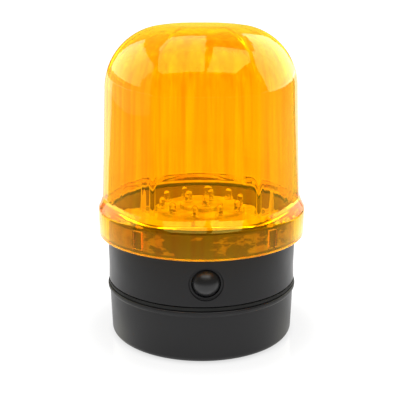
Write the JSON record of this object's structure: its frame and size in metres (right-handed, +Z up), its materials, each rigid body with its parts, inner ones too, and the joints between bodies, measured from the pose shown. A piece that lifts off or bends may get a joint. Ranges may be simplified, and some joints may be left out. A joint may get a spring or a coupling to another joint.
{
  "type": "magnetic warning beacon",
  "caption": "Battery-powered amber LED warning beacon with a panelled clear dome lens, a twist-off battery cup, a push button and a magnetic foot.",
  "frame": {"origin": "middle of the rubber foot pad's underside, on the surface that the beacon stands on", "axes": "+Z up along the beacon's axis, -Y through the middle of the push button"},
  "size_m": [0.1002, 0.1002, 0.1505],
  "materials": {
    "amber_lens": "clear moulded amber polycarbonate, glossy",
    "black_plastic": "satin black moulded ABS",
    "button_plastic": "smooth black plastic",
    "foot_rubber": "matt black rubber",
    "seal_rubber": "dark grey-green rubber",
    "gasket_rubber": "olive silicone rubber",
    "white_plastic": "white moulded ABS",
    "white_board": "white solder mask",
    "green_board": "green solder mask",
    "clear_epoxy": "water-clear epoxy",
    "ferrite": "sintered ferrite",
    "zinc_steel": "zinc-plated steel",
    "dark_screw": "black zinc screws",
    "nickel": "nickel-plated spring steel",
    "cell_jacket": "printed film jacket with no marks",
    "capacitor_sleeve": "shrunk film sleeve",
    "copper_wire": "enamelled copper winding",
    "chip_epoxy": "black moulding epoxy",
    "red_wire": "PVC insulation",
    "dark_wire": "PVC insulation",
    "white_wire": "PVC insulation"
  },
  "bodies": {
    "base": {"battery_cup": "black_plastic", "foot_pad": "foot_rubber", "ring_magnet": "ferrite", "magnet_plate": "zinc_steel", "magnet_screw_1": "dark_screw", "magnet_screw_2": "dark_screw", "magnet_screw_3": "dark_screw"},
    "seal": {"body_seal": "seal_rubber"},
    "housing": {"upper_body": "black_plastic", "battery_tray": "black_plastic", "switch_body": "chip_epoxy", "driver_chip": "chip_epoxy", "button_spring": "nickel", "reflector_deck": "white_plastic", "led_holder": "white_plastic", "led_board": "white_board", "driver_board": "green_board", "capacitor": "capacitor_sleeve", "choke_coil": "copper_wire", "wire_battery_plus": "red_wire", "wire_switch": "red_wire", "wire_battery_minus": "dark_wire", "wire_leds": "white_wire", "led_outer_1": "clear_epoxy", "led_outer_2": "clear_epoxy", "led_outer_3": "clear_epoxy", "led_outer_4": "clear_epoxy", "led_outer_5": "clear_epoxy", "led_outer_6": "clear_epoxy", "led_outer_7": "clear_epoxy", "led_outer_8": "clear_epoxy", "led_outer_9": "clear_epoxy", "led_outer_10": "clear_epoxy", "led_inner_1": "clear_epoxy", "led_inner_2": "clear_epoxy", "led_inner_3": "clear_epoxy", "cell_1": "cell_jacket", "contact_spring_1": "nickel", "cell_2": "cell_jacket", "contact_spring_2": "nickel", "cell_3": "cell_jacket", "contact_spring_3": "nickel", "cell_4": "cell_jacket", "contact_spring_4": "nickel", "contact_strip_right_front": "nickel", "contact_strip_right_back": "nickel", "contact_strip_left_middle": "nickel", "contact_strip_left_minus": "nickel", "contact_strip_left_plus": "nickel", "deck_screw_1": "zinc_steel", "deck_screw_2": "zinc_steel", "deck_screw_3": "zinc_steel", "tray_screw_left": "dark_screw", "tray_screw_right": "dark_screw", "board_screw_left": "dark_screw", "board_screw_right": "dark_screw"},
    "lens": {"lens_dome": "amber_lens", "lens_gasket": "gasket_rubber"},
    "button": {"power_button": "button_plastic"},
    "plunger": {"switch_plunger": "white_plastic"}
  },
  "joints": [
    {"name": "housing_lift", "type": "slide", "parent": "base", "child": "seal", "axis": [0, 0, 1], "range_m": [0, 0.045]},
    {"name": "housing_twist", "type": "hinge", "parent": "seal", "child": "housing", "pos_m": [0, 0, 0.0271], "axis": [0, 0, 1], "range_deg": [0, 40]},
    {"name": "lens_lift", "type": "slide", "parent": "housing", "child": "lens", "axis": [0, 0, 1], "range_m": [0, 0.06]},
    {"name": "button_press", "type": "slide", "parent": "housing", "child": "button", "axis": [0, 1, 0], "range_m": [0, 0.002], "stiffness_N_per_m": 600, "deforming": ["button_spring"]},
    {"name": "plunger_press", "type": "slide", "parent": "housing", "child": "plunger", "axis": [0, 1, 0], "range_m": [0, 0.002]}
  ],
  "couplings": [
    {"joint": "plunger_press", "follows": "button_press", "ratio": 1}
  ]
}
